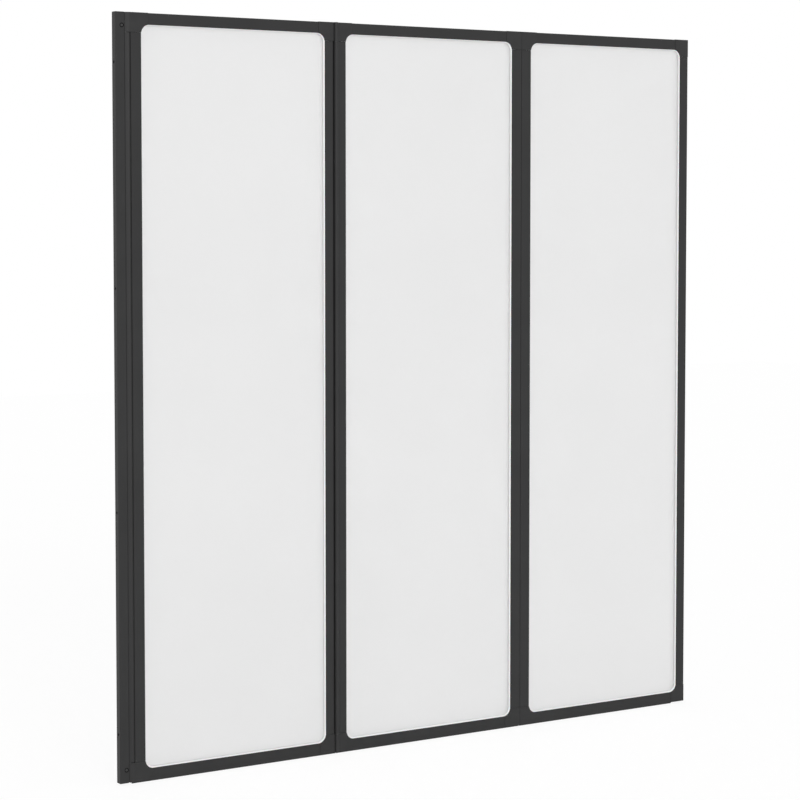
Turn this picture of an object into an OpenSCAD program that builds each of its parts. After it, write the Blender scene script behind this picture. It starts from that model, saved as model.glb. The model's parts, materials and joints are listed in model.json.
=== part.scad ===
// Folding bath screen: three framed glass panels that fold like a concertina on a wall profile.
// Millimetres. X runs from the wall to the free end, Y from the room side to the bath side, Z up.
// The origin lies on the wall face, in the middle of the profile's depth, at the profile's foot.

/* [Screen] */
// Height of the frame, from the foot of the wall profile to its top
frame_h = 1377; // [1000:1:1800]
// Depth of the wall profile, the stiles and the rails
frame_t = 14; // [13:0.5:15]
// Clear width of the panes beside the wall and at the free end
side_pane_w = 379.4; // [250:0.1:600]
// Clear width of the middle pane
middle_pane_w = 382.4; // [250:0.1:600]
// Gap between the frames of two neighbouring panels
panel_gap = 0.5; // [0.4:0.1:1]

/* [Stiles and rails] */
// Face height of a rail
rail_h = 20.6; // [18.5:0.1:30]
// Face width of the stile beside the wall
wall_stile_w = 20.4; // [19:0.1:30]
// Face width of the four stiles at the fold hinges
hinge_stile_w = 22; // [21:0.1:30]
// Face width of the stile at the free end
free_stile_w = 19.5; // [19:0.1:30]
// Wall of the hollow stiles and rails
shell_t = 1.4; // [1.2:0.1:1.8]
// Lip on each side of the glazing channel
lip_t = 2.2; // [1.8:0.1:2.6]
// Depth of the glazing channel
channel_d = 9; // [8:0.1:9.5]
// Rounding of the long outer edges
edge_r = 0.8; // [0.3:0.1:1.2]

/* [Corner blocks] */
// Radius of the pane's visible corners
corner_round = 16.6; // [15:0.1:25]
// How far a corner block runs past the edge of the pane
block_reach = 14; // [12:0.1:15]
// How far a corner block stands proud of the extrusions
block_proud = 0.4; // [0.2:0.1:0.6]
// Width of the seam between a corner block and the end of a stile or rail
seam = 0.3; // [0.1:0.05:0.5]
// Length of the spigots inside the extrusions
spigot_l = 24; // [20:1:40]
// Clearance round a spigot
spigot_clear = 0.1; // [0.05:0.01:0.2]

/* [Glazing] */
// Thickness of the glass
glass_t = 4; // [3:0.5:5]
// How far the glass reaches into the channel
glass_cover = 7.5; // [6.5:0.1:7.5]
// Width of the gasket that shows round the pane
gasket_show = 1.8; // [1:0.1:3]

/* [Wall profile] */
// Width of the wall profile, from the wall to the mouth of the channel
profile_w = 17.4; // [17.2:0.1:17.6]
// Thickness of the web against the wall
web_t = 2; // [1.5:0.1:2.2]
// Thickness of the two legs
leg_t = 1.6; // [1.5:0.1:1.7]
// Clearance between the profile and the post inside it
post_clear = 0.2; // [0.1:0.05:0.3]
// Distance from the wall to the post
post_x = 4.5; // [4.3:0.1:5]
// How far the post's flat sides and the end caps stop short of the profile's mouth
mouth_inset = 1.2; // [1:0.1:1.4]
// Thickness of the end caps
cap_t = 1.5; // [1:0.1:2.5]
// Length of the plugs that hold the end caps
plug_l = 8; // [5:0.5:10]
// Radius of the wall screw holes
wall_hole_r = 2.6; // [2:0.1:3]
// Distance between neighbouring wall screw holes
wall_hole_pitch = 400; // [200:1:420]
// Distance from the wall to the post screws
post_screw_x = 12.8; // [12.6:0.1:13]
// Distance from the ends of the profile to the post screws
post_screw_z = 23.6; // [18:0.2:60]

/* [Wall hinge] */
// Distance from the wall to the axis of the wall hinge
wall_axis_x = 22.2; // [22.1:0.1:22.4]
// How far the axis lies in front of the middle of the frame
wall_axis_out = 0.2; // [0.1:0.05:0.3]
// How far the barrel and its knuckles lie behind the face of the frame
barrel_inset = 0.2; // [0.2:0.1:0.4]
// Distance from the axis to the middle of the nose at the front of the barrel and its knuckles
nose_x = 4.4; // [4:0.1:4.8]
// Radius of the nose
nose_r = 1.6; // [1.4:0.1:1.8]
// Wall of the barrel round its bushes
wall_core_t = 1.1; // [1:0.1:1.2]
// Depth of the neck between the post and its barrel
post_neck = 5.6; // [5:0.2:6]
// Radius of the hinge pins
wall_pin_r = 2.4; // [2:0.1:2.6]
// Wall of the bushes round the pins
wall_bush_t = 1.2; // [1:0.1:1.4]
// Clearance between the first panel and the wall profile, with the hinge turned by 90 degrees
swing_clear = 0.5; // [0.4:0.1:0.8]
// Clearance between the neck of a knuckle and the profile's mouth, with the hinge turned by 90 degrees
neck_clear = 0.3; // [0.2:0.05:0.5]
// Wall of the post between its hollow and the knuckles
post_wall = 2; // [1.5:0.1:2.5]

/* [Fold hinges] */
// How far a fold axis lies outside the face of the frame
fold_axis_out = 1; // [0.9:0.1:1.4]
// How far a fold axis lies inside the edge of the panel that carries the barrel
fold_axis_in = 0.2; // [0:0.1:0.3]
// Radius of the barrels and their knuckles
fold_barrel_r = 3.75; // [3.5:0.05:3.9]
// Width of the notch beside a barrel
notch_w = 5.7; // [5.2:0.1:6]
// Depth of the notch beside a barrel
notch_d = 3.5; // [3.5:0.1:4]
// Width of the notch in a corner block, beside its knuckle
block_notch_w = 4.1; // [3.9:0.1:4.5]
// Thickness of the web that carries a knuckle
lug_t = 2.7; // [2.4:0.1:2.8]
// Radius of the hinge pins
fold_pin_r = 1.6; // [1.4:0.05:1.7]
// Wall of the bushes round the pins
fold_bush_t = 0.9; // [0.8:0.05:1]

/* [All hinges] */
// Running clearance between a pin and its bush
pin_clear = 0.05; // [0.02:0.01:0.08]
// Clearance of a pressed or seated round piece
seat_clear = 0.02; // [0.01:0.01:0.03]
// Clearance round a knuckle that turns
knuckle_clear = 0.4; // [0.3:0.05:0.5]
// Gap between a knuckle and the barrel's end, which the bush flange fills
end_gap = 1; // [0.8:0.1:1.5]
// Clearance between a bush flange and the knuckle
thrust_clear = 0.1; // [0.05:0.05:0.2]
// Length of a bush inside its barrel
bush_l = 20; // [12:1:30]
// Length of pin past the bush
pin_past = 4; // [0:1:10]
// Solid floor below a pin in its knuckle
pin_floor = 3; // [2:0.5:5]

/* [Seals and screws] */
// How far the bottom seal hangs below the corner blocks
seal_drop = 2.8; // [2:0.1:8]
// Width of the bottom seal, front to back
seal_w = 8; // [7:0.1:8]
// Thickness of the bottom seal's top plate and fins
seal_skin = 1; // [0.8:0.1:1.2]
// Distance from the free end to the end of the last bottom seal
seal_stop = 31.1; // [20:0.1:60]
// Distance of a bottom seal's end from the edge of its panel
seal_inset = 0.2; // [0:0.1:1]
// Distance from the wall to the start of the first bottom seal
first_seal_x = 24; // [22.5:0.1:26]
// Half width of the seal's stem in its slot
stem_half = 1.4; // [1:0.1:1.8]
// Half width of the seal's head in its slot
head_half = 2.8; // [2.2:0.1:3.2]
// Clearance round the seal's head and stem
slot_clear = 0.1; // [0.05:0.05:0.2]
// Depth of the slot for the bottom seal
slot_d = 3.2; // [3:0.1:3.4]
// Depth of the slot's narrow neck
slot_neck_d = 1.3; // [1.1:0.1:1.5]
// Distance of the upright hinge seal from the barrel
hinge_seal_clear = 0.4; // [0.3:0.05:0.5]
// How far the upright hinge seal lies behind the face of the frame
hinge_seal_in = 2.5; // [2:0.1:3]
// Head radius of a corner screw
screw_head_r = 2.6; // [2.4:0.1:2.8]
// Shank radius of a corner screw
screw_r = 1.45; // [1.2:0.05:1.6]
// Length of a corner screw
screw_l = 7; // [6:0.5:8]
// Distance of a corner screw from the glazing channel's wall
screw_in = 2.6; // [2.6:0.1:2.8]
// Radius of the bore that sinks a post screw's head
post_bore_r = 4; // [3.8:0.1:4.1]
// Depth of the bore that sinks a post screw's head
post_bore_d = 1.1; // [1:0.05:1.2]
// Head radius of a post screw
post_head_r = 2.4; // [2.2:0.1:2.6]
// Depth of a post screw's head below the face of the profile
post_head_depth = 0.1; // [0.05:0.05:0.15]
// Shank radius of a post screw
post_screw_r = 1.6; // [1.4:0.05:1.7]
// Depth of a post screw's tip below the face of the profile
post_screw_l = 4.4; // [3.6:0.1:5]
// Width of the cross recess in a screw's head
recess_w = 0.8; // [0.6:0.05:1]
// Length of the cross recess in a screw's head
recess_l = 3.2; // [2.6:0.1:3.6]
// Depth of the cross recess in a screw's head
recess_d = 0.5; // [0.3:0.05:0.55]

/* [Hidden] */
LEFT = 0;
RIGHT = 1;
FOOT = 0;
TOP = 1;
SIDES = [LEFT, RIGHT];
ENDS = [FOOT, TOP];

frame_colour = [0.24, 0.24, 0.245];
block_colour = [0.22, 0.22, 0.225];
pane_colour = [0.9, 0.91, 0.91, 0.6];
clear_colour = [0.85, 0.86, 0.86];
steel_colour = [0.62, 0.63, 0.65];
screw_colour = [0.3, 0.3, 0.31];
nylon_colour = [0.3, 0.3, 0.3];
ROUND = 64;
EDGE_STEPS = 4;
OVER = 1;

face_y = frame_t / 2;
block_y = face_y + block_proud;
channel_y = face_y - lip_t;
sill = rail_h + block_proud;
block_h = sill + block_reach;
stile_l = frame_h - 2 * block_h;
pane_h = frame_h - 2 * sill;
chamber_far = channel_d + shell_t;
wall_axis_y = -wall_axis_out;
fold_axis_y = -(face_y + fold_axis_out);
fold_lug_axis_x = -(panel_gap + fold_axis_in);
fold_barrel_axis_x = fold_axis_in;
notch_floor = notch_d - face_y;
wall_barrel_r = face_y - barrel_inset - wall_axis_out;
wall_core_r = wall_pin_r + pin_clear + wall_bush_t + wall_core_t;
wall_reach = face_y + wall_axis_out + swing_clear;
wall_knuckle_x = -wall_reach;
neck_back = wall_axis_x - profile_w - neck_clear + wall_axis_y;
post_half = face_y - leg_t - post_clear;
mouth_x = profile_w - mouth_inset;
hollow_near = post_x + shell_t;
hollow_far = wall_axis_x - wall_barrel_r - knuckle_clear - post_wall;

pane_w = [side_pane_w, middle_pane_w, side_pane_w];
stile_w = [[wall_stile_w, hinge_stile_w], [hinge_stile_w, hinge_stile_w], [hinge_stile_w, free_stile_w]];
edge_kind = [["wall lug", "fold lug"], ["fold barrel", "fold lug"], ["fold barrel", "plain"]];
hinge_behind = [[false, false], [false, true], [true, false]];

function panel_w(p) = stile_w[p - 1][LEFT] + pane_w[p - 1] + stile_w[p - 1][RIGHT];
function panel_x(p) =
    p == 1 ? wall_axis_x + wall_reach : panel_x(p - 1) + panel_w(p - 1) + panel_gap;
function is_hinged(kind) = kind == "fold lug" || kind == "fold barrel";

// Points of an arc about c, from one angle to another
function arc(c, r, from, to) =
    [for (i = [0 : EDGE_STEPS]) let (a = from + (to - from) * i / EDGE_STEPS) c + r * [cos(a), sin(a)]];

// Outline of a bar of width w and the frame's depth, whose two outer edges are rounded
function bar_points(w) = concat(
    arc([edge_r, face_y - edge_r], edge_r, 180, 90),
    [[w, face_y], [w, -face_y]],
    arc([edge_r, edge_r - face_y], edge_r, 270, 180));

// Outline of the hollow in a stile of width w, taken in by c all round
function chamber_points(kind, w, c) =
    let (near = shell_t + c, far = w - chamber_far - c, y = face_y - shell_t - c)
    is_hinged(kind)
        ? [[near, notch_floor + near], [near, y], [far, y], [far, -y], [notch_w + near, -y],
           [notch_w + near, notch_floor + near]]
        : [[near, -y], [near, y], [far, y], [far, -y]];

// Lowest and highest level of the hollow in a rail, from its outer edge, taken in by c
function rail_chamber(e, c) = [(e == FOOT ? slot_d : 0) + shell_t + c, rail_h - chamber_far - c];

// Turns children round to the bath side
module behind(is_behind) {
    if (is_behind) {
        mirror([0, 1, 0]) children();
    } else {
        children();
    }
}

// Puts children on one side of a panel, where X runs inwards from the panel's edge
module at_side(p, s) {
    if (s == LEFT) {
        translate([panel_x(p), 0, 0]) children();
    } else {
        translate([panel_x(p) + panel_w(p), 0, 0]) mirror([1, 0, 0]) children();
    }
}

// Puts children at the foot or the top, where Z runs inwards from the end of the frame
module at_end(e) {
    if (e == FOOT) {
        children();
    } else {
        translate([0, 0, frame_h]) mirror([0, 0, 1]) children();
    }
}

module tube(r_out, r_in, h) {
    difference() {
        cylinder(r = r_out, h = h, $fn = ROUND);
        translate([0, 0, -OVER]) cylinder(r = r_in, h = h + 2 * OVER, $fn = ROUND);
    }
}

module rounded_window(w, h, r) {
    translate([r, 0]) square([w - 2 * r, h]);
    translate([0, r]) square([w, h - 2 * r]);
    for (x = [r, w - r]) for (y = [r, h - r]) translate([x, y]) circle(r = r, $fn = 2 * ROUND);
}

// Extrudes an outline drawn in X and Z along the depth of the frame, centred on it
module upright_plate(depth) {
    rotate([90, 0, 0]) linear_extrude(depth, center = true) children();
}

// Extrudes an outline drawn in Y and Z along X
module along_x(length) {
    rotate([90, 0, 90]) linear_extrude(length) children();
}

// The cross recess of a screw whose head lies at Z = 0 and looks down
module cross_recess() {
    for (turn = [0, 90]) rotate([0, 0, turn]) translate([-recess_l / 2, -recess_w / 2, -OVER])
        cube([recess_l, recess_w, recess_d + OVER]);
}

// Puts children at both screws of one corner, with Z going in from the bath side of the frame
module at_corner_screws(p, s, e) {
    w = stile_w[p - 1][s];
    level = rail_chamber(e, 0);
    at_side(p, s) at_end(e) {
        translate([w - chamber_far - screw_in, face_y, block_h + spigot_l / 2]) rotate([90, 0, 0]) children();
        translate([w + block_reach + spigot_l / 2, face_y, block_proud + (level[0] + level[1]) / 2])
            rotate([90, 0, 0]) children();
    }
}

// The outside of a countersunk corner screw, or of its hole with a clearance
module corner_screw_solid(clear) {
    cylinder(r1 = screw_head_r + clear, r2 = screw_r + clear, h = screw_head_r - screw_r, $fn = ROUND);
    cylinder(r = screw_r + clear, h = screw_l + clear, $fn = ROUND);
}

module stile_section(kind, w) {
    difference() {
        polygon(bar_points(w));
        translate([w - channel_d, -channel_y]) square([channel_d + OVER, 2 * channel_y]);
        polygon(chamber_points(kind, w, 0));
        if (kind == "fold lug") {
            translate([-OVER, -face_y - OVER]) square([notch_w + OVER, notch_d + OVER]);
        }
    }
}

// The plain bar of a stile, which stops short of the corner blocks by a seam
module stile_bar(kind, w) {
    translate([0, 0, block_h + seam]) linear_extrude(stile_l - 2 * seam) stile_section(kind, w);
}

// The body of a stile that carries a barrel: its ends make room for the knuckles
module barrel_stile_body(w) {
    difference() {
        stile_bar("fold barrel", w);
        for (z = [block_h - OVER, frame_h - block_h - end_gap])
            translate([fold_barrel_axis_x, fold_axis_y, z])
                cylinder(r = fold_barrel_r + knuckle_clear, h = end_gap + OVER, $fn = ROUND);
    }
}

module stile_body(kind, w) {
    if (kind == "fold barrel") {
        difference() {
            union() {
                barrel_stile_body(w);
                translate([fold_barrel_axis_x, fold_axis_y, block_h + end_gap])
                    cylinder(r = fold_barrel_r, h = stile_l - 2 * end_gap, $fn = ROUND);
            }
            translate([fold_barrel_axis_x, fold_axis_y, block_h])
                cylinder(r = fold_pin_r + pin_clear + fold_bush_t + seat_clear, h = stile_l, $fn = ROUND);
        }
    } else {
        stile_bar(kind, w);
    }
}

module stile(p, s) {
    color(frame_colour) difference() {
        at_side(p, s) behind(hinge_behind[p - 1][s]) stile_body(edge_kind[p - 1][s], stile_w[p - 1][s]);
        for (e = ENDS) at_corner_screws(p, s, e) corner_screw_solid(seat_clear);
    }
}

module rail_section(e) {
    level = rail_chamber(e, 0);
    difference() {
        polygon([for (q = bar_points(rail_h)) [q.y, q.x]]);
        translate([-channel_y, rail_h - channel_d]) square([2 * channel_y, channel_d + OVER]);
        translate([shell_t - face_y, level[0]]) square([frame_t - 2 * shell_t, level[1] - level[0]]);
        if (e == FOOT) {
            seal_slot();
        }
    }
}

// The slot under a bottom rail that takes the seal's stem and head
module seal_slot() {
    stem = stem_half + slot_clear;
    head = head_half + slot_clear;
    translate([-stem, -OVER]) square([2 * stem, slot_d + OVER]);
    translate([-head, slot_neck_d]) square([2 * head, slot_d - slot_neck_d]);
}

module rail(p, e) {
    start = stile_w[p - 1][LEFT] + block_reach + seam;
    stop = panel_w(p) - stile_w[p - 1][RIGHT] - block_reach - seam;
    color(frame_colour) difference() {
        at_end(e) translate([panel_x(p) + start, 0, block_proud]) along_x(stop - start) rail_section(e);
        for (s = SIDES) at_corner_screws(p, s, e) corner_screw_solid(seat_clear);
    }
}

// The visible plate of a corner block, with the slot for the glass and its gasket
module block_plate(p, s) {
    w = stile_w[p - 1][s];
    difference() {
        upright_plate(2 * block_y) difference() {
            square([w + block_reach, block_h]);
            translate([w, sill]) rounded_window(pane_w[p - 1], pane_h, corner_round);
        }
        translate([w - channel_d, -channel_y, sill - channel_d])
            cube([channel_d + block_reach + OVER, 2 * channel_y, channel_d + block_reach + OVER]);
    }
}

// The two tongues of a corner block, inside the stile and inside the rail
module block_spigots(p, s, e) {
    w = stile_w[p - 1][s];
    level = rail_chamber(e, spigot_clear);
    half = face_y - shell_t - spigot_clear;
    behind(hinge_behind[p - 1][s]) translate([0, 0, block_h - OVER])
        linear_extrude(spigot_l + OVER) polygon(chamber_points(edge_kind[p - 1][s], w, spigot_clear));
    translate([w + block_reach - OVER, -half, block_proud + level[0]])
        cube([spigot_l + OVER, 2 * half, level[1] - level[0]]);
}

// What a corner block loses to make room for its hinge
module block_relief(kind) {
    if (kind == "fold lug") {
        translate([-OVER, -block_y - OVER, -OVER])
            cube([block_notch_w + OVER, notch_floor + block_y + OVER, block_h + 2 * OVER]);
    }
    if (kind == "fold barrel") {
        translate([fold_barrel_axis_x, fold_axis_y, -OVER])
            cylinder(r = fold_barrel_r + knuckle_clear, h = block_h + 2 * OVER, $fn = ROUND);
    }
}

// Section of the wall hinge about its axis: round behind, and in front sloping from the nose to the wall
module wall_hinge_section() {
    hull() {
        circle(r = wall_core_r, $fn = ROUND);
        translate([nose_x, nose_r - wall_barrel_r]) circle(r = nose_r, $fn = ROUND);
        intersection() {
            circle(r = wall_barrel_r, $fn = ROUND);
            translate([-wall_barrel_r, 0]) square([2 * wall_barrel_r, wall_barrel_r]);
        }
    }
}

// The knuckle of a corner block and the web that carries it
module block_knuckle(kind) {
    if (kind == "wall lug") {
        linear_extrude(block_h) polygon([
            [wall_knuckle_x + nose_x, wall_axis_y - wall_barrel_r], [0, -block_y], [OVER, -block_y],
            [OVER, neck_back], [wall_knuckle_x, neck_back]]);
        translate([wall_knuckle_x, wall_axis_y, 0]) linear_extrude(block_h) wall_hinge_section();
    }
    if (kind == "fold lug") {
        translate([0, notch_floor - lug_t, 0]) cube([block_notch_w + OVER / 2, lug_t + OVER / 2, block_h]);
        translate([fold_lug_axis_x, fold_axis_y, 0]) cylinder(r = fold_barrel_r, h = block_h, $fn = ROUND);
    }
}

module pin_bore(x, y, r) {
    translate([x, y, pin_floor]) cylinder(r = r + seat_clear, h = block_h, $fn = ROUND);
}

module corner_block(p, s, e) {
    kind = edge_kind[p - 1][s];
    color(block_colour) difference() {
        at_side(p, s) at_end(e) {
            behind(hinge_behind[p - 1][s]) difference() {
                union() {
                    difference() {
                        block_plate(p, s);
                        block_relief(kind);
                    }
                    block_knuckle(kind);
                }
                if (kind == "wall lug") {
                    pin_bore(wall_knuckle_x, wall_axis_y, wall_pin_r);
                }
                if (kind == "fold lug") {
                    pin_bore(fold_lug_axis_x, fold_axis_y, fold_pin_r);
                }
            }
            block_spigots(p, s, e);
        }
        at_corner_screws(p, s, e) corner_screw_solid(seat_clear);
    }
}

module corner_screws(p) {
    color(screw_colour) for (s = SIDES) for (e = ENDS) at_corner_screws(p, s, e) difference() {
        corner_screw_solid(0);
        cross_recess();
    }
}

// A plate that fills the frame's opening and reaches into the channel by the given cover
module pane_plate(p, thickness, cover) {
    translate([panel_x(p) + stile_w[p - 1][LEFT] - cover, -thickness / 2, sill - cover])
        cube([pane_w[p - 1] + 2 * cover, thickness, pane_h + 2 * cover]);
}

module glass(p) {
    color(pane_colour) pane_plate(p, glass_t, glass_cover);
}

// A rubber frame that fills the channel, grips the glass and shows a lip round the pane
module gasket(p) {
    show = gasket_show;
    color(clear_colour) difference() {
        pane_plate(p, 2 * channel_y, channel_d);
        translate([panel_x(p) + stile_w[p - 1][LEFT] + show, 0, sill + show]) upright_plate(frame_t)
            rounded_window(pane_w[p - 1] - 2 * show, pane_h - 2 * show, corner_round - show);
        pane_plate(p, glass_t, glass_cover);
    }
}

// Top plate and two fins of the bottom seal
module seal_lip_section() {
    translate([-seal_w / 2, -seal_skin]) square([seal_w, seal_skin]);
    for (y = [-seal_w / 2, seal_w / 2 - seal_skin]) translate([y, -seal_drop]) square([seal_skin, seal_drop]);
}

// Stem and head of the bottom seal, which hang it in the rail's slot
module seal_stem_section() {
    head_low = block_proud + slot_neck_d + slot_clear;
    translate([-stem_half, -seal_skin / 2]) square([2 * stem_half, head_low + seal_skin]);
    translate([-head_half, head_low]) square([2 * head_half, slot_d - slot_neck_d - 2 * slot_clear]);
}

// The first seal also runs under the neck of the wall hinge's knuckle
module bottom_seal(p) {
    edge = panel_x(p) + panel_w(p);
    start = p == 1 ? first_seal_x : panel_x(p) + seal_inset;
    stop = edge - (p == 3 ? seal_stop : seal_inset);
    stem_start = panel_x(p) + stile_w[p - 1][LEFT] + block_reach;
    stem_stop = edge - stile_w[p - 1][RIGHT] - block_reach;
    color(nylon_colour) {
        translate([start, 0, 0]) along_x(stop - start) seal_lip_section();
        translate([stem_start, 0, 0]) along_x(stem_stop - stem_start) seal_stem_section();
    }
}

// The flexible strip in the gap between the barrel and the first stile
module wall_hinge_seal() {
    front = hinge_seal_in - face_y;
    color(nylon_colour) translate([wall_axis_x, 0, block_h + end_gap])
        linear_extrude(stile_l - 2 * end_gap) difference() {
            translate([0, front]) square([wall_reach, neck_back - front]);
            translate([0, wall_axis_y]) offset(r = hinge_seal_clear) wall_hinge_section();
        }
}

// A flanged bush for a pin; its flange lies between the knuckle and the barrel
module bush(pin_r, wall) {
    flange = end_gap - thrust_clear;
    r_in = pin_r + pin_clear;
    translate([0, 0, block_h + thrust_clear]) tube(r_in + wall + flange / 2, r_in, flange);
    translate([0, 0, block_h + end_gap]) tube(r_in + wall, r_in, bush_l);
}

module pin(r) {
    length = block_h + end_gap + bush_l + pin_past - pin_floor;
    translate([0, 0, pin_floor]) cylinder(r = r, h = length, $fn = ROUND);
}

// Puts children on the axis of the hinge between panel p and its neighbour nearer the wall
module at_fold_axis(p) {
    at_side(p, LEFT) behind(hinge_behind[p - 1][LEFT])
        translate([fold_barrel_axis_x, fold_axis_y, 0]) children();
}

module wall_hinge_bushes() {
    color(nylon_colour) for (e = ENDS) at_end(e) translate([wall_axis_x, wall_axis_y, 0])
        bush(wall_pin_r, wall_bush_t);
}

module wall_hinge_pins() {
    color(steel_colour) for (e = ENDS) at_end(e) translate([wall_axis_x, wall_axis_y, 0]) pin(wall_pin_r);
}

module fold_hinge_bushes(p) {
    color(nylon_colour) for (e = ENDS) at_end(e) at_fold_axis(p) bush(fold_pin_r, fold_bush_t);
}

module fold_hinge_pins(p) {
    color(steel_colour) for (e = ENDS) at_end(e) at_fold_axis(p) pin(fold_pin_r);
}

// Puts children at both post screws, with Z going in from the room side of the profile
module at_post_screws() {
    for (e = ENDS) at_end(e) translate([post_screw_x, -face_y, post_screw_z]) rotate([-90, 0, 0]) children();
}

// Pan-head screws, sunk in the profile's front leg, which bite into the post
module post_screws() {
    color(screw_colour) at_post_screws() translate([0, 0, post_head_depth]) difference() {
        union() {
            cylinder(r = post_head_r, h = post_bore_d - post_head_depth, $fn = ROUND);
            cylinder(r = post_screw_r, h = post_screw_l - post_head_depth, $fn = ROUND);
        }
        cross_recess();
    }
}

// The channel of the wall profile, from its web to the given distance from the wall
module profile_channel(stop) {
    half = face_y - leg_t;
    translate([web_t, -half]) square([stop - web_t, 2 * half]);
}

module wall_profile() {
    color(frame_colour) difference() {
        linear_extrude(frame_h) difference() {
            polygon(bar_points(profile_w));
            profile_channel(profile_w + OVER);
        }
        for (i = [-1.5 : 1.5]) translate([-OVER, 0, frame_h / 2 + i * wall_hole_pitch])
            rotate([0, 90, 0]) cylinder(r = wall_hole_r, h = web_t + 2 * OVER, $fn = ROUND);
        at_post_screws() {
            translate([0, 0, -OVER]) cylinder(r = post_bore_r, h = post_bore_d + OVER, $fn = ROUND);
            cylinder(r = post_screw_r + seat_clear, h = leg_t + OVER, $fn = ROUND);
        }
    }
}

// Outline of the hollow in the post, taken in by c
module post_hollow(c) {
    half = post_half - shell_t - c;
    translate([hollow_near + c, -half]) square([hollow_far - hollow_near - 2 * c, 2 * half]);
}

// A tube with a barrel along its open side; its ends make room for the knuckles
module hinge_post() {
    axis = [wall_axis_x, wall_axis_y, 0];
    color(frame_colour) difference() {
        union() {
            difference() {
                translate([post_x, -post_half, cap_t])
                    cube([mouth_x - post_x, 2 * post_half, frame_h - 2 * cap_t]);
                for (e = ENDS) at_end(e) translate(axis)
                    cylinder(r = wall_barrel_r + knuckle_clear, h = block_h + end_gap, $fn = ROUND);
            }
            translate([0, 0, block_h + end_gap]) linear_extrude(stile_l - 2 * end_gap) {
                translate([wall_axis_x, wall_axis_y]) wall_hinge_section();
                translate([mouth_x - OVER, -post_neck / 2]) square([wall_axis_x - mouth_x, post_neck]);
            }
        }
        translate([0, 0, -OVER]) linear_extrude(frame_h + 2 * OVER) post_hollow(0);
        translate(axis + [0, 0, block_h])
            cylinder(r = wall_pin_r + pin_clear + wall_bush_t + seat_clear, h = stile_l, $fn = ROUND);
        at_post_screws() cylinder(r = post_screw_r + seat_clear, h = post_screw_l + seat_clear, $fn = ROUND);
    }
}

// A plate that closes the channel and a plug that holds it in the post
module profile_cap(e) {
    color(block_colour) at_end(e) {
        linear_extrude(cap_t) difference() {
            profile_channel(mouth_x);
            translate([wall_axis_x, wall_axis_y]) circle(r = wall_barrel_r + knuckle_clear, $fn = ROUND);
        }
        translate([0, 0, cap_t / 2]) linear_extrude(plug_l + cap_t / 2) post_hollow(spigot_clear);
    }
}

wall_profile();
hinge_post();
profile_cap(TOP);  // profile_top_cap
profile_cap(FOOT);  // profile_foot_cap
post_screws();
wall_hinge_bushes();
wall_hinge_pins();
wall_hinge_seal();
fold_hinge_pins(2);  // fold_hinge_1_pins
fold_hinge_bushes(2);  // fold_hinge_1_bushes
fold_hinge_pins(3);  // fold_hinge_2_pins
fold_hinge_bushes(3);  // fold_hinge_2_bushes
stile(1, LEFT);  // panel_1_left_stile
stile(1, RIGHT);  // panel_1_right_stile
rail(1, FOOT);  // panel_1_bottom_rail
rail(1, TOP);  // panel_1_top_rail
corner_block(1, LEFT, FOOT);  // panel_1_bottom_left_corner
corner_block(1, RIGHT, FOOT);  // panel_1_bottom_right_corner
corner_block(1, LEFT, TOP);  // panel_1_top_left_corner
corner_block(1, RIGHT, TOP);  // panel_1_top_right_corner
glass(1);  // panel_1_glass
gasket(1);  // panel_1_gasket
bottom_seal(1);  // panel_1_bottom_seal
corner_screws(1);  // panel_1_corner_screws
stile(2, LEFT);  // panel_2_left_stile
stile(2, RIGHT);  // panel_2_right_stile
rail(2, FOOT);  // panel_2_bottom_rail
rail(2, TOP);  // panel_2_top_rail
corner_block(2, LEFT, FOOT);  // panel_2_bottom_left_corner
corner_block(2, RIGHT, FOOT);  // panel_2_bottom_right_corner
corner_block(2, LEFT, TOP);  // panel_2_top_left_corner
corner_block(2, RIGHT, TOP);  // panel_2_top_right_corner
glass(2);  // panel_2_glass
gasket(2);  // panel_2_gasket
bottom_seal(2);  // panel_2_bottom_seal
corner_screws(2);  // panel_2_corner_screws
stile(3, LEFT);  // panel_3_left_stile
stile(3, RIGHT);  // panel_3_right_stile
rail(3, FOOT);  // panel_3_bottom_rail
rail(3, TOP);  // panel_3_top_rail
corner_block(3, LEFT, FOOT);  // panel_3_bottom_left_corner
corner_block(3, RIGHT, FOOT);  // panel_3_bottom_right_corner
corner_block(3, LEFT, TOP);  // panel_3_top_left_corner
corner_block(3, RIGHT, TOP);  // panel_3_top_right_corner
glass(3);  // panel_3_glass
gasket(3);  // panel_3_gasket
bottom_seal(3);  // panel_3_bottom_seal
corner_screws(3);  // panel_3_corner_screws
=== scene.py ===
"""Dresses the fixed frame of a folding bath screen: soft edges, finishes, floor, light and camera."""

import json
import math

import bmesh
import bpy
from bpy.props import FloatProperty, FloatVectorProperty, PointerProperty
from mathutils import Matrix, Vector


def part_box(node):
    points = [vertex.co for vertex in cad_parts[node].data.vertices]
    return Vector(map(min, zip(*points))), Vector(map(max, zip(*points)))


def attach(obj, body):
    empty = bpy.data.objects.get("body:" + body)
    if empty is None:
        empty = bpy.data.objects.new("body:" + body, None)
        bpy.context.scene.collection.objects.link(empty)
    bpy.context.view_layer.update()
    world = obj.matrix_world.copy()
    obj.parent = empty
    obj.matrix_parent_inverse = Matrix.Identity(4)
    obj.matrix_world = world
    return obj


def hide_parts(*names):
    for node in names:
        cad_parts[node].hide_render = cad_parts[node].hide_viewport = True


bl_info = {
    "name": "Folding bath screen",
    "version": (1, 0, 0),
    "blender": (4, 5, 0),
    "location": "3D View > Sidebar > Bath screen",
    "description": "Dresses the CAD frame of a folding bath screen and sets up its stage",
    "category": "Object",
}

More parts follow.
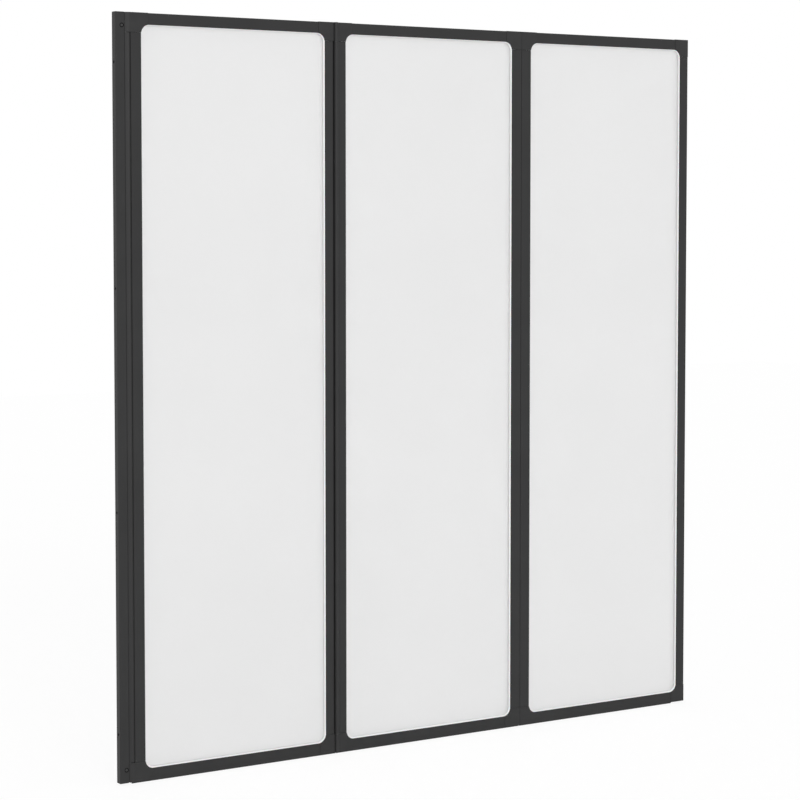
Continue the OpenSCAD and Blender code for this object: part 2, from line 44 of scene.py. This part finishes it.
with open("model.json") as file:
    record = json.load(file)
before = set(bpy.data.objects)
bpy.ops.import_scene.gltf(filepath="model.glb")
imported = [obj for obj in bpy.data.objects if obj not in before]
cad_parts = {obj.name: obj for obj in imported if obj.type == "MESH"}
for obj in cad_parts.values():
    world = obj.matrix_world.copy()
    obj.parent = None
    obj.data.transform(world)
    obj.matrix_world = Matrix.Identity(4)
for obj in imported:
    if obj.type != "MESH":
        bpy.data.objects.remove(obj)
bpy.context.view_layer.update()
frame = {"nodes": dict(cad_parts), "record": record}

MM = 0.001

PANELS = (1, 2, 3)
SIDES = ("left", "right")
ENDS = ("bottom", "top")
WALL_EXTRUSIONS = ("wall_profile", "hinge_post")
END_CAPS = ("profile_top_cap", "profile_foot_cap")
HINGE_PINS = ("wall_hinge_pins", "fold_hinge_1_pins", "fold_hinge_2_pins")
HINGE_BUSHES = ("wall_hinge_bushes", "fold_hinge_1_bushes", "fold_hinge_2_bushes")

# Points nearer to each other than this are joined into one
WELD = 0.001 * MM
# Triangles that meet at a smaller angle than this are joined into one flat face
FLAT_ANGLE = math.radians(0.5)
# An outer edge is rounded where its faces meet at more than this angle
CORNER_ANGLE = math.radians(40)
# An edge is shaded sharp where its faces meet at more than this angle
SHARP_ANGLE = math.radians(35)
BEVEL_STEPS = 2
# Just over the radius of the sunk holes round the post screws; faces within it get painted shade
SHADED_HOLE_R = 4.05 * MM

# Most values of a noise pattern lie between these two
NOISE_LOW = 0.3
NOISE_HIGH = 0.7
# Specular level of the matt black surfaces; 0.5 is that of plain plastic
DULL_SPECULAR = 0.12

# Distance from the middle of the floor to its sides, and of its middle from the wall
FLOOR_REACH = 8
FLOOR_MIDDLE = 0.6
# Strength of the white that the floor shows as background, and its share of what is seen
FLOOR_GLOW = 1.04
FLOOR_GLOW_SHARE = 0.85
KEY_DISTANCE = 3
# Width of the camera's sensor in millimetres
SENSOR_WIDTH = 36
# The camera sees what lies between these distances
NEAREST = 0.05
FARTHEST = 100

BODIES = frame["record"]["behaviour"]["bodies"]
BODY_OF = {node: body for body, nodes in BODIES.items() for node in nodes}


def panel_nodes(*kinds):
    """The names of like pieces on all three panels."""
    return [f"panel_{panel}_{kind}" for panel in PANELS for kind in kinds]


class EdgeSettings(bpy.types.PropertyGroup):
    """How far the outer edges of each kind of piece are rounded."""

    extrusion: FloatProperty(
        name="Extrusions", description="Rounding of the sawn and drawn edges of the profiles",
        default=0.2 * MM, min=0.05 * MM, max=0.4 * MM, precision=5, unit="LENGTH")
    block: FloatProperty(
        name="Corner blocks", description="Rounding of the moulded edges of the corner blocks and caps",
        default=0.35 * MM, min=0.05 * MM, max=0.6 * MM, precision=5, unit="LENGTH")
    lip: FloatProperty(
        name="Gasket lip", description="Width of the slope on the soft lip round the panes",
        default=1.5 * MM, min=0.1 * MM, max=1.7 * MM, precision=5, unit="LENGTH")
    seal: FloatProperty(
        name="Seals", description="Rounding of the rubber seals",
        default=0.25 * MM, min=0.05 * MM, max=0.4 * MM, precision=5, unit="LENGTH")
    screw: FloatProperty(
        name="Screws", description="Rounding of the screw heads and their recesses",
        default=0.1 * MM, min=0.02 * MM, max=0.2 * MM, precision=5, unit="LENGTH")


class FinishSettings(bpy.types.PropertyGroup):
    """Colours and roughness of the finishes, and the painted shade inside the screw holes."""

    coat: FloatVectorProperty(
        name="Powder coat", description="Colour of the coated profiles",
        default=(0.0325, 0.0325, 0.0328), min=0, max=1, size=3, subtype="COLOR")
    coat_roughness: FloatProperty(
        name="Coat roughness", description="Roughness of the powder coat",
        default=0.4, min=0.1, max=0.9, subtype="FACTOR")
    moulding: FloatVectorProperty(
        name="Mouldings", description="Colour of the corner blocks, the caps and the bushes",
        default=(0.0335, 0.0335, 0.0338), min=0, max=1, size=3, subtype="COLOR")
    # Painted shade: this near-black colour, far darker than the coat, goes on the faces inside the sunk
    # holes of the post screws to stand for the shade in them
    painted_shade: FloatVectorProperty(
        name="Screw holes", description="Colour inside the sunk holes of the post screws",
        default=(0.003, 0.003, 0.0031), min=0, max=1, size=3, subtype="COLOR")
    pane: FloatVectorProperty(
        name="Pane", description="Colour of the satin glass",
        default=(0.89, 0.89, 0.89), min=0, max=1, size=3, subtype="COLOR")
    pane_clear: FloatProperty(
        name="Pane transmission", description="Share of the light that passes through the satin glass",
        default=0.5, min=0, max=1, subtype="FACTOR")
    lip: FloatVectorProperty(
        name="Gasket", description="Colour of the milky gasket",
        default=(0.95, 0.95, 0.95), min=0, max=1, size=3, subtype="COLOR")
    rubber: FloatVectorProperty(
        name="Seals", description="Colour of the black seals",
        default=(0.035, 0.035, 0.0353), min=0, max=1, size=3, subtype="COLOR")
    steel: FloatVectorProperty(
        name="Steel", description="Colour of the hinge pins",
        default=(0.55, 0.555, 0.56), min=0, max=1, size=3, subtype="COLOR")
    black_steel: FloatVectorProperty(
        name="Blackened steel", description="Colour of the blackened screws",
        default=(0.025, 0.025, 0.0252), min=0, max=1, size=3, subtype="COLOR")


class StageSettings(bpy.types.PropertyGroup):
    """Floor, light and camera."""

    place: FloatVectorProperty(
        name="Camera place", description="Where the camera stands",
        default=(-1.7632, -3.695, 1.0323), size=3, subtype="TRANSLATION", unit="LENGTH")
    heading: FloatProperty(
        name="Heading", description="How far the camera turns from +Y towards +X",
        default=math.radians(32.594), subtype="ANGLE", unit="ROTATION")
    pitch: FloatProperty(
        name="Pitch", description="How far the camera looks down",
        default=math.radians(3.211), subtype="ANGLE", unit="ROTATION")
    lens: FloatProperty(
        name="Focal length", description="Focal length in millimetres on a 36 mm sensor",
        default=103.15, min=20, max=300, unit="CAMERA")
    shift: FloatProperty(
        name="Shift", description="Vertical shift of the lens, as a share of the picture",
        default=-0.08, min=-0.5, max=0.5, subtype="FACTOR")
    sky: FloatProperty(
        name="Room light", description="Strength of the even light from all round",
        default=0.68, min=0, max=2, subtype="FACTOR")
    key: FloatProperty(
        name="Key light", description="Strength of the wide, soft light from the front",
        default=1.4, min=0, max=10, subtype="FACTOR")
    key_side: FloatProperty(
        name="Key light's side",
        description="Turn of the key light from the front; below nought it stands on the wall's side",
        default=math.radians(-10), subtype="ANGLE", unit="ROTATION")
    key_rise: FloatProperty(
        name="Key light's rise", description="How high the key light stands above the horizon",
        default=math.radians(16), subtype="ANGLE", unit="ROTATION")
    key_spread: FloatProperty(
        name="Key light's size", description="Width of the key light, as seen from the screen",
        default=math.radians(40), subtype="ANGLE", unit="ROTATION")
    floor: FloatVectorProperty(
        name="Floor", description="Colour of the pale floor",
        default=(0.9, 0.9, 0.9), min=0, max=1, size=3, subtype="COLOR")


class BathScreenSettings(bpy.types.PropertyGroup):
    """All settings of the bath screen."""

    edges: PointerProperty(type=EdgeSettings)
    finishes: PointerProperty(type=FinishSettings)
    stage: PointerProperty(type=StageSettings)


def new_node(tree, kind, values=None, links=None):
    """A node of this kind, with values set on some of its inputs and links led into others."""
    node = tree.nodes.new(kind)
    for name, value in (values or {}).items():
        node.inputs[name].default_value = value
    for name, source in (links or {}).items():
        tree.links.new(source, node.inputs[name])
    return node


class Surface:
    """A new material and the steps that build up its shader."""

    def __init__(self, name):
        self.material = bpy.data.materials.new(name)
        self.material.use_nodes = True
        self.tree = self.material.node_tree
        self.shader = self.tree.nodes["Principled BSDF"]
        self.places = new_node(self.tree, "ShaderNodeTexCoord").outputs["Object"]

    def fix(self, name, value):
        """Sets what is the same all over the surface."""
        self.shader.inputs[name].default_value = value

    def noise(self, grains_per_metre, detail):
        """A noise pattern on the object with about this many grains to a metre."""
        values = {"Scale": grains_per_metre, "Detail": detail}
        pattern = new_node(self.tree, "ShaderNodeTexNoise", values, {"Vector": self.places})
        return pattern.outputs["Fac"]

    def tint(self, colour, pattern, spread):
        """Lets the base colour vary with the pattern, by a share of itself either way."""
        ramp = new_node(self.tree, "ShaderNodeValToRGB", links={"Fac": pattern})
        darker, lighter = ramp.color_ramp.elements
        darker.color = (*[channel * (1 - spread) for channel in colour], 1)
        lighter.color = (*[min(1.0, channel * (1 + spread)) for channel in colour], 1)
        darker.position = NOISE_LOW
        lighter.position = NOISE_HIGH
        self.tree.links.new(ramp.outputs["Color"], self.shader.inputs["Base Color"])

    def roughen(self, pattern, low, high):
        """Lets the roughness run from low to high with the pattern."""
        values = {"From Min": NOISE_LOW, "From Max": NOISE_HIGH, "To Min": low, "To Max": high}
        span = new_node(self.tree, "ShaderNodeMapRange", values, {"Value": pattern})
        self.tree.links.new(span.outputs["Result"], self.shader.inputs["Roughness"])

    def emboss(self, pattern, height, strength):
        """Lets the pattern stand out of the surface by the given height."""
        values = {"Distance": height, "Strength": strength}
        bump = new_node(self.tree, "ShaderNodeBump", values, {"Height": pattern})
        self.tree.links.new(bump.outputs["Normal"], self.shader.inputs["Normal"])


def powder_coat(finishes):
    """Fine matt coating with a slight orange peel."""
    coat = Surface("powder_coat")
    coat.fix("Specular IOR Level", DULL_SPECULAR)
    coat.tint(finishes.coat, coat.noise(14, detail=3), spread=0.05)
    peel = coat.noise(1300, detail=3)
    coat.roughen(peel, low=finishes.coat_roughness - 0.05, high=finishes.coat_roughness + 0.07)
    coat.emboss(peel, height=0.03 * MM, strength=0.35)
    return coat.material


def moulded_nylon(finishes):
    """Matt moulding with the fine texture of a spark-eroded mould."""
    nylon = Surface("moulded_nylon")
    nylon.fix("Specular IOR Level", DULL_SPECULAR)
    nylon.tint(finishes.moulding, nylon.noise(40, detail=2), spread=0.06)
    erosion = nylon.noise(2600, detail=4)
    nylon.roughen(erosion, low=0.38, high=0.46)
    nylon.emboss(erosion, height=0.02 * MM, strength=0.4)
    return nylon.material


def painted_hole_shade(finishes):
    """Painted shade inside a sunk screw hole: a dull, near-black material, darker than the coat."""
    painted_shade = Surface("painted_hole_shade")
    painted_shade.fix("Specular IOR Level", DULL_SPECULAR)
    painted_shade.tint(finishes.painted_shade, painted_shade.noise(300, detail=2), spread=0.15)
    painted_shade.roughen(painted_shade.noise(900, detail=2), low=0.75, high=0.85)
    return painted_shade.material


def satin_glass(finishes):
    """Etched glass that scatters the light that passes through it."""
    glass = Surface("satin_glass")
    glass.fix("IOR", 1.5)
    glass.fix("Transmission Weight", finishes.pane_clear)
    glass.tint(finishes.pane, glass.noise(5, detail=2), spread=0.006)
    etching = glass.noise(4200, detail=3)
    glass.roughen(etching, low=0.38, high=0.48)
    glass.emboss(etching, height=0.008 * MM, strength=0.25)
    return glass.material


def milky_gasket(finishes):
    """Soft, slightly cloudy plastic."""
    gasket = Surface("milky_gasket")
    gasket.fix("Subsurface Weight", 0.15)
    gasket.fix("Subsurface Scale", 0.6 * MM)
    gasket.tint(finishes.lip, gasket.noise(60, detail=2), spread=0.02)
    gasket.roughen(gasket.noise(400, detail=2), low=0.4, high=0.5)
    return gasket.material


def seal_rubber(finishes):
    """Dull rubber with a fine, uneven skin."""
    rubber = Surface("seal_rubber")
    rubber.fix("Specular IOR Level", 0.25)
    rubber.tint(finishes.rubber, rubber.noise(90, detail=3), spread=0.1)
    skin = rubber.noise(1800, detail=3)
    rubber.roughen(skin, low=0.68, high=0.82)
    rubber.emboss(skin, height=0.02 * MM, strength=0.4)
    return rubber.material


def stainless_steel(finishes):
    """Ground steel with a fine grain."""
    steel = Surface("stainless_steel")
    steel.fix("Metallic", 1.0)
    steel.tint(finishes.steel, steel.noise(300, detail=2), spread=0.05)
    grain = steel.noise(3500, detail=2)
    steel.roughen(grain, low=0.28, high=0.42)
    steel.emboss(grain, height=0.004 * MM, strength=0.2)
    return steel.material


def blackened_steel(finishes):
    """Screws with a thin black coating, a little shiny."""
    steel = Surface("blackened_steel")
    steel.tint(finishes.black_steel, steel.noise(500, detail=2), spread=0.1)
    grain = steel.noise(2500, detail=2)
    steel.roughen(grain, low=0.32, high=0.45)
    steel.emboss(grain, height=0.005 * MM, strength=0.2)
    return steel.material


def black_acetal(finishes):
    """Smooth bearing plastic."""
    acetal = Surface("black_acetal")
    acetal.tint(finishes.moulding, acetal.noise(120, detail=2), spread=0.05)
    acetal.roughen(acetal.noise(900, detail=2), low=0.35, high=0.45)
    return acetal.material


def is_outer_corner(edge):
    """True where two faces meet at a marked angle and the edge stands out."""
    return len(edge.link_faces) == 2 and edge.is_convex and edge.calc_face_angle() > CORNER_ANGLE


def outer_corners(shape):
    """The edges of a shape that stand out."""
    return [edge for edge in shape.edges if is_outer_corner(edge)]


def window_corners(shape):
    """The edges that stand out round a gasket's window, on its room side and on its bath side."""
    places = [vertex.co for vertex in shape.verts]
    left, right = min(place.x for place in places), max(place.x for place in places)
    foot, top = min(place.z for place in places), max(place.z for place in places)
    face = max(place.y for place in places)

    def is_free(place):
        inside = left + WELD < place.x < right - WELD and foot + WELD < place.z < top - WELD
        return inside and abs(place.y) > face - WELD

    return [edge for edge in outer_corners(shape) if all(is_free(vertex.co) for vertex in edge.verts)]


def softened_copy(node, rounding, material, chosen=outer_corners):
    """A copy of a CAD node with joined triangles and rounded outer edges, which stands for the node."""
    shape = bmesh.new()
    shape.from_mesh(frame["nodes"][node].data)
    bmesh.ops.remove_doubles(shape, verts=shape.verts, dist=WELD)
    bmesh.ops.dissolve_limit(shape, angle_limit=FLAT_ANGLE, verts=shape.verts, edges=shape.edges)
    bmesh.ops.bevel(
        shape, geom=chosen(shape), offset=rounding, offset_type="OFFSET", affect="EDGES",
        segments=BEVEL_STEPS, profile=0.5, material=-1, clamp_overlap=True)
    mesh = bpy.data.meshes.new(f"{node}_soft")
    shape.to_mesh(mesh)
    shape.free()
    return placed(mesh, node, material)


def placed(mesh, node, material):
    """An object of this mesh that rides with the node's body and takes the node's place."""
    mesh.shade_smooth()
    mesh.set_sharp_from_angle(angle=SHARP_ANGLE)
    mesh.materials.append(material)
    piece = bpy.data.objects.new(f"{node}_soft", mesh)
    bpy.context.scene.collection.objects.link(piece)
    normals = piece.modifiers.new("even_normals", "WEIGHTED_NORMAL")
    normals.keep_sharp = True
    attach(piece, BODY_OF[node])
    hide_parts(node)
    return piece


def finished_node(node, material):
    """Gives a CAD node its finish and keeps its own shape."""
    mesh = frame["nodes"][node].data
    mesh.materials.clear()
    mesh.materials.append(material)


def screw_axes():
    """Where the axes of the two post screws cross the profile's face, as pairs of x and z."""
    low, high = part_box("post_screws")
    radius = (high.x - low.x) / 2
    return [(low.x + radius, low.z + radius), (low.x + radius, high.z - radius)]


def paint_shade_in_holes(profile, material):
    """Paints shade inside the sunk holes round the post screws, as a darker material on the faces there.
    """
    axes = screw_axes()
    profile.data.materials.append(material)
    slot = len(profile.data.materials) - 1
    for face in profile.data.polygons:
        middle = face.center
        if any(math.hypot(middle.x - x, middle.z - z) < SHADED_HOLE_R for x, z in axes):
            face.material_index = slot


class BATHSCREEN_OT_extrusions(bpy.types.Operator):
    """Dress the stiles, the rails, the wall profile and its hinge post in powder coat"""

    bl_idname = "bath_screen.extrusions"
    bl_label = "Extrusions"

    def execute(self, context):
        settings = context.scene.bath_screen
        coat = powder_coat(settings.finishes)
        stiles = panel_nodes(*[f"{side}_stile" for side in SIDES])
        rails = panel_nodes(*[f"{end}_rail" for end in ENDS])
        pieces = {
            node: softened_copy(node, settings.edges.extrusion, coat)
            for node in (*WALL_EXTRUSIONS, *stiles, *rails)}
        # Painted shade: a near-black material on the faces inside the sunk holes of the post screws
        paint_shade_in_holes(pieces["wall_profile"], painted_hole_shade(settings.finishes))
        return {"FINISHED"}


class BATHSCREEN_OT_mouldings(bpy.types.Operator):
    """Dress the corner blocks and the end caps of the wall profile as mouldings"""

    bl_idname = "bath_screen.mouldings"
    bl_label = "Corner blocks and caps"

    def execute(self, context):
        settings = context.scene.bath_screen
        nylon = moulded_nylon(settings.finishes)
        blocks = panel_nodes(*[f"{end}_{side}_corner" for end in ENDS for side in SIDES])
        for node in (*END_CAPS, *blocks):
            softened_copy(node, settings.edges.block, nylon)
        return {"FINISHED"}


class BATHSCREEN_OT_panes(bpy.types.Operator):
    """Give the three panes their satin glass"""

    bl_idname = "bath_screen.panes"
    bl_label = "Panes"

    def execute(self, context):
        glass = satin_glass(context.scene.bath_screen.finishes)
        for node in panel_nodes("glass"):
            finished_node(node, glass)
        return {"FINISHED"}


class BATHSCREEN_OT_gaskets(bpy.types.Operator):
    """Dress the gaskets, whose milky lip shows round the panes"""

    bl_idname = "bath_screen.gaskets"
    bl_label = "Gaskets"

    def execute(self, context):
        settings = context.scene.bath_screen
        plastic = milky_gasket(settings.finishes)
        for node in panel_nodes("gasket"):
            softened_copy(node, settings.edges.lip, plastic, window_corners)
        return {"FINISHED"}


class BATHSCREEN_OT_seals(bpy.types.Operator):
    """Dress the bottom seals and the upright seal at the wall hinge as rubber"""

    bl_idname = "bath_screen.seals"
    bl_label = "Seals"

    def execute(self, context):
        settings = context.scene.bath_screen
        rubber = seal_rubber(settings.finishes)
        for node in ("wall_hinge_seal", *panel_nodes("bottom_seal")):
            softened_copy(node, settings.edges.seal, rubber)
        return {"FINISHED"}


class BATHSCREEN_OT_screws(bpy.types.Operator):
    """Dress the post screws and the corner screws in blackened steel"""

    bl_idname = "bath_screen.screws"
    bl_label = "Screws"

    def execute(self, context):
        settings = context.scene.bath_screen
        steel = blackened_steel(settings.finishes)
        for node in ("post_screws", *panel_nodes("corner_screws")):
            softened_copy(node, settings.edges.screw, steel)
        return {"FINISHED"}


class BATHSCREEN_OT_hinge_parts(bpy.types.Operator):
    """Give the hinge pins their steel and the bushes their bearing plastic"""

    bl_idname = "bath_screen.hinge_parts"
    bl_label = "Hinge pins and bushes"

    def execute(self, context):
        finishes = context.scene.bath_screen.finishes
        steel = stainless_steel(finishes)
        acetal = black_acetal(finishes)
        for node in HINGE_PINS:
            finished_node(node, steel)
        for node in HINGE_BUSHES:
            finished_node(node, acetal)
        return {"FINISHED"}


def background_rays(tree):
    """One for rays that reach the eye straight, by a gloss or through glass, and otherwise nought."""
    rays = new_node(tree, "ShaderNodeLightPath")
    shown = rays.outputs["Is Camera Ray"]
    for kind in ("Is Glossy Ray", "Is Transmission Ray"):
        either = new_node(tree, "ShaderNodeMath", links={0: shown, 1: rays.outputs[kind]})
        either.operation = "MAXIMUM"
        shown = either.outputs[0]
    return shown


def show_mixed(tree, share, lit, shown, output):
    """Leads two shaders to the output, mixed by the second one's share."""
    mixed = new_node(tree, "ShaderNodeMixShader", links={"Fac": share, 1: lit, 2: shown})
    tree.links.new(mixed.outputs["Shader"], tree.nodes[output].inputs["Surface"])


def pale_floor(stage):
    """A pale floor that shows nearly white to the eye and keeps a soft shadow."""
    floor = Surface("pale_floor")
    floor.fix("Roughness", 0.9)
    floor.fix("Specular IOR Level", 0.1)
    floor.tint(stage.floor, floor.noise(3, detail=2), spread=0.01)
    tree = floor.tree
    share = new_node(tree, "ShaderNodeMath", {1: FLOOR_GLOW_SHARE}, {0: background_rays(tree)})
    share.operation = "MULTIPLY"
    white = new_node(tree, "ShaderNodeEmission", {"Strength": FLOOR_GLOW})
    show_mixed(
        tree, share.outputs[0], floor.shader.outputs["BSDF"], white.outputs["Emission"], "Material Output")
    return floor.material


def make_floor(stage):
    """A wide floor that the lowest seal touches."""
    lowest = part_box("panel_1_bottom_seal")[0].z
    shape = bmesh.new()
    bmesh.ops.create_grid(shape, x_segments=1, y_segments=1, size=FLOOR_REACH)
    bmesh.ops.translate(shape, verts=shape.verts, vec=(FLOOR_MIDDLE, 0, lowest))
    mesh = bpy.data.meshes.new("floor")
    shape.to_mesh(mesh)
    shape.free()
    mesh.materials.append(pale_floor(stage))
    floor = bpy.data.objects.new("floor", mesh)
    bpy.context.scene.collection.objects.link(floor)


def make_sky(stage):
    """Even light from all round, seen as plain white by the eye, in a gloss and through glass."""
    world = bpy.data.worlds.new("white_room")
    bpy.context.scene.world = world
    world.use_nodes = True
    tree = world.node_tree
    light = tree.nodes["Background"]
    light.inputs["Color"].default_value = (1, 1, 1, 1)
    light.inputs["Strength"].default_value = stage.sky
    white = new_node(tree, "ShaderNodeBackground", {"Color": (1, 1, 1, 1), "Strength": 1.0})
    show_mixed(
        tree, background_rays(tree), light.outputs["Background"], white.outputs["Background"],
        "World Output")


def make_key_light(stage):
    """A wide, soft, distant light from the front, a little on the wall's side."""
    lamp = bpy.data.lights.new("key_light", "SUN")
    lamp.energy = stage.key
    lamp.angle = stage.key_spread
    level = math.cos(stage.key_rise)
    towards = Vector((
        level * math.sin(stage.key_side), -level * math.cos(stage.key_side), math.sin(stage.key_rise)))
    holder = bpy.data.objects.new("key_light", lamp)
    holder.location = towards * KEY_DISTANCE
    holder.rotation_euler = towards.to_track_quat("Z", "Y").to_euler()
    bpy.context.scene.collection.objects.link(holder)


def make_camera(stage):
    """The camera at the photograph's viewing angle."""
    data = bpy.data.cameras.new("camera")
    data.sensor_width = SENSOR_WIDTH
    data.lens = stage.lens
    data.shift_y = stage.shift
    data.clip_start = NEAREST
    data.clip_end = FARTHEST
    camera = bpy.data.objects.new("camera", data)
    camera.location = stage.place
    camera.rotation_euler = (math.pi / 2 - stage.pitch, 0, -stage.heading)
    bpy.context.scene.collection.objects.link(camera)
    bpy.context.scene.camera = camera


class BATHSCREEN_OT_stage(bpy.types.Operator):
    """Add the pale floor, the white room, the soft key light and the camera"""

    bl_idname = "bath_screen.stage"
    bl_label = "Stage"

    def execute(self, context):
        stage = context.scene.bath_screen.stage
        make_floor(stage)
        make_sky(stage)
        make_key_light(stage)
        make_camera(stage)
        context.scene.view_settings.view_transform = "Standard"
        return {"FINISHED"}


OPERATORS = (
    BATHSCREEN_OT_extrusions,
    BATHSCREEN_OT_mouldings,
    BATHSCREEN_OT_panes,
    BATHSCREEN_OT_gaskets,
    BATHSCREEN_OT_seals,
    BATHSCREEN_OT_screws,
    BATHSCREEN_OT_hinge_parts,
    BATHSCREEN_OT_stage,
)


class BATHSCREEN_PT_panel(bpy.types.Panel):
    """Lists the pieces of the bath screen with their settings"""

    bl_idname = "BATHSCREEN_PT_panel"
    bl_label = "Bath screen"
    bl_space_type = "VIEW_3D"
    bl_region_type = "UI"
    bl_category = "Bath screen"

    def draw(self, context):
        settings = context.scene.bath_screen
        for operator in OPERATORS:
            self.layout.operator(operator.bl_idname)
        groups = {"Edges": settings.edges, "Finishes": settings.finishes, "Stage": settings.stage}
        for title, group in groups.items():
            box = self.layout.box()
            box.label(text=title)
            for name in group.__annotations__:
                box.prop(group, name)


CLASSES = (
    EdgeSettings, FinishSettings, StageSettings, BathScreenSettings, *OPERATORS, BATHSCREEN_PT_panel)


def register():
    """Adds the classes and the scene's settings."""
    for cls in CLASSES:
        bpy.utils.register_class(cls)
    bpy.types.Scene.bath_screen = PointerProperty(type=BathScreenSettings)


def unregister():
    """Takes the settings and the classes away again."""
    del bpy.types.Scene.bath_screen
    for cls in reversed(CLASSES):
        bpy.utils.unregister_class(cls)


def main():
    """Dresses the screen piece by piece and sets the stage."""
    register()
    bpy.ops.bath_screen.extrusions()
    bpy.ops.bath_screen.mouldings()
    bpy.ops.bath_screen.panes()
    bpy.ops.bath_screen.gaskets()
    bpy.ops.bath_screen.seals()
    bpy.ops.bath_screen.screws()
    bpy.ops.bath_screen.hinge_parts()
    bpy.ops.bath_screen.stage()


if __name__ == "__main__":
    main()
